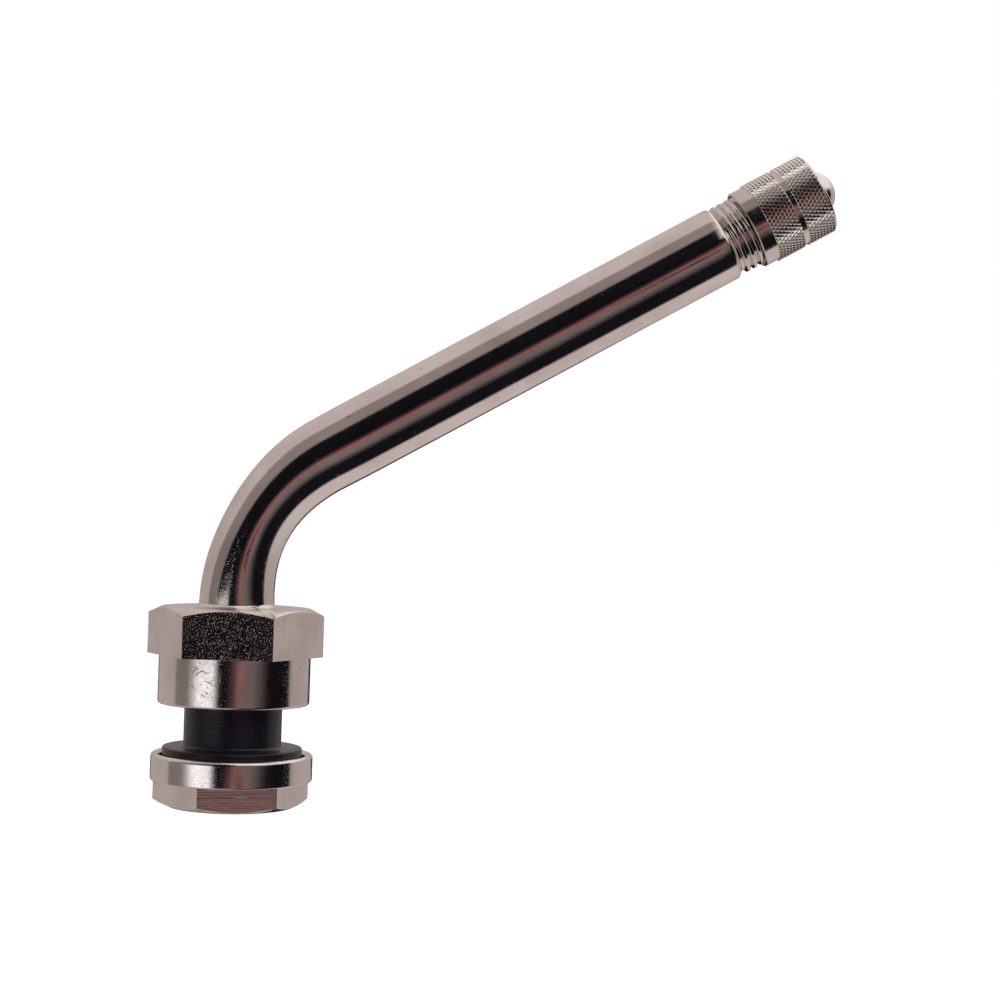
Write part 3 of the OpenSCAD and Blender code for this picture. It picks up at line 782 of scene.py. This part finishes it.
valve_pin = turn_on_lathe("valve_pin", [
    (0, PIN_LOW), (RIVET_R, PIN_LOW), (RIVET_R, RIVET_TOP), (PIN_R, RIVET_TOP), (PIN_R, PIN_COLLAR_LOW),
    (PIN_COLLAR_R, PIN_COLLAR_LOW), (PIN_COLLAR_R, PIN_COLLAR_TOP), (PIN_R, PIN_COLLAR_TOP),
    (PIN_R, PIN_NECK_Z), (PIN_HEAD_R, PIN_HEAD_LOW), (PIN_HEAD_R, PIN_HEAD_EDGE),
    (PIN_HEAD_R - 0.15, PIN_TOP), (0, PIN_TOP)], sides=48)
soften(valve_pin, width=0.05, angle=30, segments=2)
smooth(valve_pin)
move_to_mouth(valve_pin)
dress(valve_pin, core_brass, "core_pin", "core_brass", "core_pin")

plunger = turn_on_lathe("plunger", [
    (PLUNGER_BORE_R, PLUNGER_LOW), (PLUNGER_LOW_R, PLUNGER_LOW), (PLUNGER_R, PLUNGER_EDGE_Z),
    (PLUNGER_R, PLUNGER_TOP), (PLUNGER_ROOM_R, PLUNGER_TOP), (PLUNGER_ROOM_R, PLUNGER_FLOOR_Z),
    (PLUNGER_BORE_R, PLUNGER_FLOOR_Z)], sides=64)
soften(plunger, width=0.05, angle=30, segments=2)
smooth(plunger)
move_to_mouth(plunger)
dress(plunger, core_brass, "core_pin", "core_brass", "plunger_cup")

plunger_ring = turn_on_lathe("plunger_ring", [
    (PLUNGER_BORE_R, RING_LOW), (RING_R, RING_LOW), (RING_R, RING_TOP), (PLUNGER_BORE_R, RING_TOP)], sides=64)
soften(plunger_ring, width=0.1, angle=30)
smooth(plunger_ring)
move_to_mouth(plunger_ring)
dress(plunger_ring, black_rubber, "core_pin", "rubber", "cup_seal")

# Spring of the core: steel wire wound in seven turns. It stands on the barrel's floor and pushes
# the pin's collar outwards, so it is squashed as the pin goes in.
WIRE_R = 0.14
WIRE_SIDES = 12
COIL_R = 0.995
SPRING_LOW = -6.25
SPRING_TOP = -2.27
SPRING_TURNS = 7
COIL_STEPS = 24 * SPRING_TURNS
STEEL = (0.62, 0.62, 0.60, 1)
STEEL_DARK = (0.46, 0.45, 0.43, 1)

deselect_all()
bpy.ops.mesh.primitive_circle_add(vertices=WIRE_SIDES, radius=WIRE_R * MM, rotation=(math.pi / 2, 0, 0),
                                  location=(COIL_R * MM, 0, (SPRING_LOW + WIRE_R) * MM))
bpy.ops.object.transform_apply(location=True, rotation=True, scale=True)
coil_spring = bpy.context.object
use_modifier(coil_spring, "SCREW", axis="Z", angle=2 * math.pi * SPRING_TURNS,
             screw_offset=(SPRING_TOP - SPRING_LOW - 2 * WIRE_R) * MM,
             steps=COIL_STEPS, render_steps=COIL_STEPS)
bpy.ops.object.mode_set(mode="EDIT")
bpy.ops.mesh.select_all(action="SELECT")
bpy.ops.mesh.fill_holes(sides=0)
coil_spring = finish_mesh("coil_spring")
smooth(coil_spring, 50)
move_to_mouth(coil_spring)
spring_steel = bare_metal("spring_steel", STEEL, STEEL_DARK, lines_mm=0.01)
dress(coil_spring, spring_steel, "stem", "spring_steel", "core_spring")
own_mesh(coil_spring)

# Studio: a pale table, low enough for the nut to be screwed off, and a bright room around it. The
# room's dark side lies behind the camera, with a grey wall, a reddish strip and a soft window.
NUT_TRAVEL = 11.5
NUT_CLEARANCE = 0.5
FLOOR_Z = FOOT_Z - NUT_TRAVEL - NUT_CLEARANCE
CAMERA_AT = Vector((24.46, -204.85, 20.34))
CAMERA_RIGHT = Vector((0.9994, -0.0134, 0.032))
CAMERA_UP = Vector((-0.0321, -0.0083, 0.9994))
FOCAL_PIXELS = 1954.85
FRAME_PIXELS = 1000
SENSOR_MM = 36
LAMP_AT = Vector((0.16, -0.4, 0.3))
LAMP_AIM = Vector((0.03, 0, 0.02))
TABLE_PALE = (0.9, 0.9, 0.9, 1)
TABLE_ROUGH = 0.9
GLOW_SHARE = 0.7
GLOW_UNSEEN = 0.6
GLOW_SEEN = 1.25

camera = bpy.data.objects.new("camera", bpy.data.cameras.new("camera"))
bpy.context.scene.collection.objects.link(camera)
camera.data.sensor_width = SENSOR_MM
camera.data.lens = SENSOR_MM * FOCAL_PIXELS / FRAME_PIXELS
camera.data.clip_start = 0.005
camera.data.clip_end = 20
right = CAMERA_RIGHT.normalized()
back = right.cross(CAMERA_UP).normalized()
up = back.cross(right)
camera.matrix_world = Matrix((right, up, back)).transposed().to_4x4()
camera.location = CAMERA_AT * MM
bpy.context.scene.camera = camera

deselect_all()
bpy.ops.mesh.primitive_plane_add(size=4, location=(0, 0, FLOOR_Z * MM))
table = bpy.context.object
table.name = "table"
table.visible_glossy = False
pale_table = bpy.data.materials.new("pale_table")
pale_table.use_nodes = True
tree = pale_table.node_tree
tree.nodes["Principled BSDF"].inputs["Base Color"].default_value = TABLE_PALE
tree.nodes["Principled BSDF"].inputs["Roughness"].default_value = TABLE_ROUGH
looked_at = node(tree, "ShaderNodeLightPath").outputs["Is Camera Ray"]
glow_strength = spread(tree, looked_at, 0, 1, GLOW_UNSEEN, GLOW_SEEN, "LINEAR")
glow = node(tree, "ShaderNodeEmission", {"Color": (1, 1, 1, 1), "Strength": glow_strength})
shown = node(tree, "ShaderNodeMixShader",
             {0: GLOW_SHARE, 1: tree.nodes["Principled BSDF"].outputs[0], 2: glow.outputs[0]})
tree.links.new(shown.outputs[0], tree.nodes["Material Output"].inputs["Surface"])
table.data.materials.append(pale_table)

lamp = bpy.data.objects.new("lamp", bpy.data.lights.new("lamp", "AREA"))
bpy.context.scene.collection.objects.link(lamp)
lamp.data.size = 0.4
lamp.data.energy = 1.6
lamp.location = LAMP_AT
lamp.rotation_euler = (LAMP_AIM - LAMP_AT).to_track_quat("-Z", "Y").to_euler()
lamp.visible_glossy = False

room = bpy.data.worlds.new("room")
bpy.context.scene.world = room
room.use_nodes = True
tree = room.node_tree
tree.nodes.clear()
facing = node(tree, "ShaderNodeTexCoord").outputs["Generated"]
# the walls turn about an axis between the hexagon's and the arm's, square to this
SLANT = (0.8, 0, -0.6)


def towards(direction):
    made = node(tree, "ShaderNodeVectorMath", operation="DOT_PRODUCT")
    tree.links.new(facing, made.inputs[0])
    made.inputs[1].default_value = direction
    return made.outputs["Value"]


CREAM = (0.64, 0.545, 0.54)
DARK = (0.0085, 0.008, 0.011)
DIM_RED = (0.12, 0.06, 0.066)
RED = (0.38, 0.18, 0.175)
GREY = (0.23, 0.185, 0.18)
DIM_GREY = (0.06, 0.048, 0.048)
MID = (0.31, 0.255, 0.25)
WINDOW = (1.25, 1.22, 1.26, 1)
OVERHEAD = (0.98, 0.93, 0.92, 1)
UNDERFOOT = (0.46, 0.40, 0.39, 1)
WALL_LEAN = 0.327
EDGE_SHIFT = 0.26

# the walls' colours by the angle round the object, from the camera's side
walls = [
    (-180, DARK), (-171, DARK), (-168, GREY), (-162, GREY), (-157, CREAM), (-95, CREAM), (-88, MID),
    (-54, MID), (-46.5, DARK), (1.5, DARK), (9.5, DIM_RED), (15.5, RED), (20, RED), (25, GREY), (33, GREY),
    (50, DIM_GREY), (57, DARK), (98, DARK), (106, CREAM), (158, CREAM), (167, DARK)]


def area_within(edges):
    # 1 between the edges, each given by a value and where it fades in
    area = None
    for value, low, high in edges:
        edge = spread(tree, value, low, high)
        area = edge if area is None else maths(tree, "MULTIPLY", area, edge)
    return area


rise = towards((0, 0, 1))
ahead = towards(ARM_DIR)
sweep = maths(tree, "ARCTAN2", towards(SLANT), towards((0, -1, 0)))
sweep = maths(tree, "SUBTRACT", sweep, maths(tree, "MULTIPLY", rise, WALL_LEAN))
# low down and a little ahead, the walls are seen shifted over the table's edge, as the foot's flats show
table_edge = area_within([(ahead, 0.08, 0.16), (ahead, 0.4, 0.3), (rise, -0.12, -0.15), (rise, -0.32, -0.22)])
sweep = maths(tree, "SUBTRACT", sweep, maths(tree, "MULTIPLY", table_edge, EDGE_SHIFT))
ramp = node(tree, "ShaderNodeValToRGB", {"Fac": spread(tree, sweep, -math.pi, math.pi, 0, 1, "LINEAR")})
stops = ramp.color_ramp.elements
while len(stops) < len(walls):
    stops.new(0.5)
for stop, (angle, colour) in zip(stops, walls):
    stop.position = (angle + 180) / 360
    stop.color = (*colour, 1)
# the wall behind the object is pale above the table's height, and all walls are dimmer near it
behind = area_within([(towards((0, 1, 0)), 0.7, 0.85), (rise, -0.06, 0)])
wall_colour = blend_colour(tree, behind, ramp.outputs["Color"], (*CREAM, 1))
dimming = spread(tree, maths(tree, "ABSOLUTE", rise), 0.1, 0.6, 0.74, 1)
dimmed = node(tree, "ShaderNodeVectorMath", {"Vector": wall_colour, "Scale": dimming}, operation="SCALE")
# the window stands to the left of the camera, and its light comes from low down
side = maths(tree, "ARCTAN2", towards((1, 0, 0)), towards((0, -1, 0)))
level = maths(tree, "ARCSINE", rise)
window_edges = ((side, -70, -45), (side, -15, -28), (level, -26, -18), (level, -1, -5.5))
window = area_within([(value, math.radians(low), math.radians(high)) for value, low, high in window_edges])
walls_seen = blend_colour(tree, window, dimmed.outputs["Vector"], WINDOW)
above = maths(tree, "MINIMUM", ahead, rise)
below = maths(tree, "MAXIMUM", ahead, rise)
walls_seen = blend_colour(tree, spread(tree, above, 0.3, 0.55), walls_seen, OVERHEAD)
walls_seen = blend_colour(tree, spread(tree, below, -0.3, -0.55), walls_seen, UNDERFOOT)
seen = node(tree, "ShaderNodeLightPath").outputs["Is Camera Ray"]
shown_room = blend_colour(tree, seen, walls_seen, (1, 1, 1, 1))
light = node(tree, "ShaderNodeBackground", {"Color": shown_room, "Strength": 1.0})
tree.links.new(light.outputs[0], node(tree, "ShaderNodeOutputWorld").inputs["Surface"])

bpy.context.scene.view_settings.view_transform = "Standard"
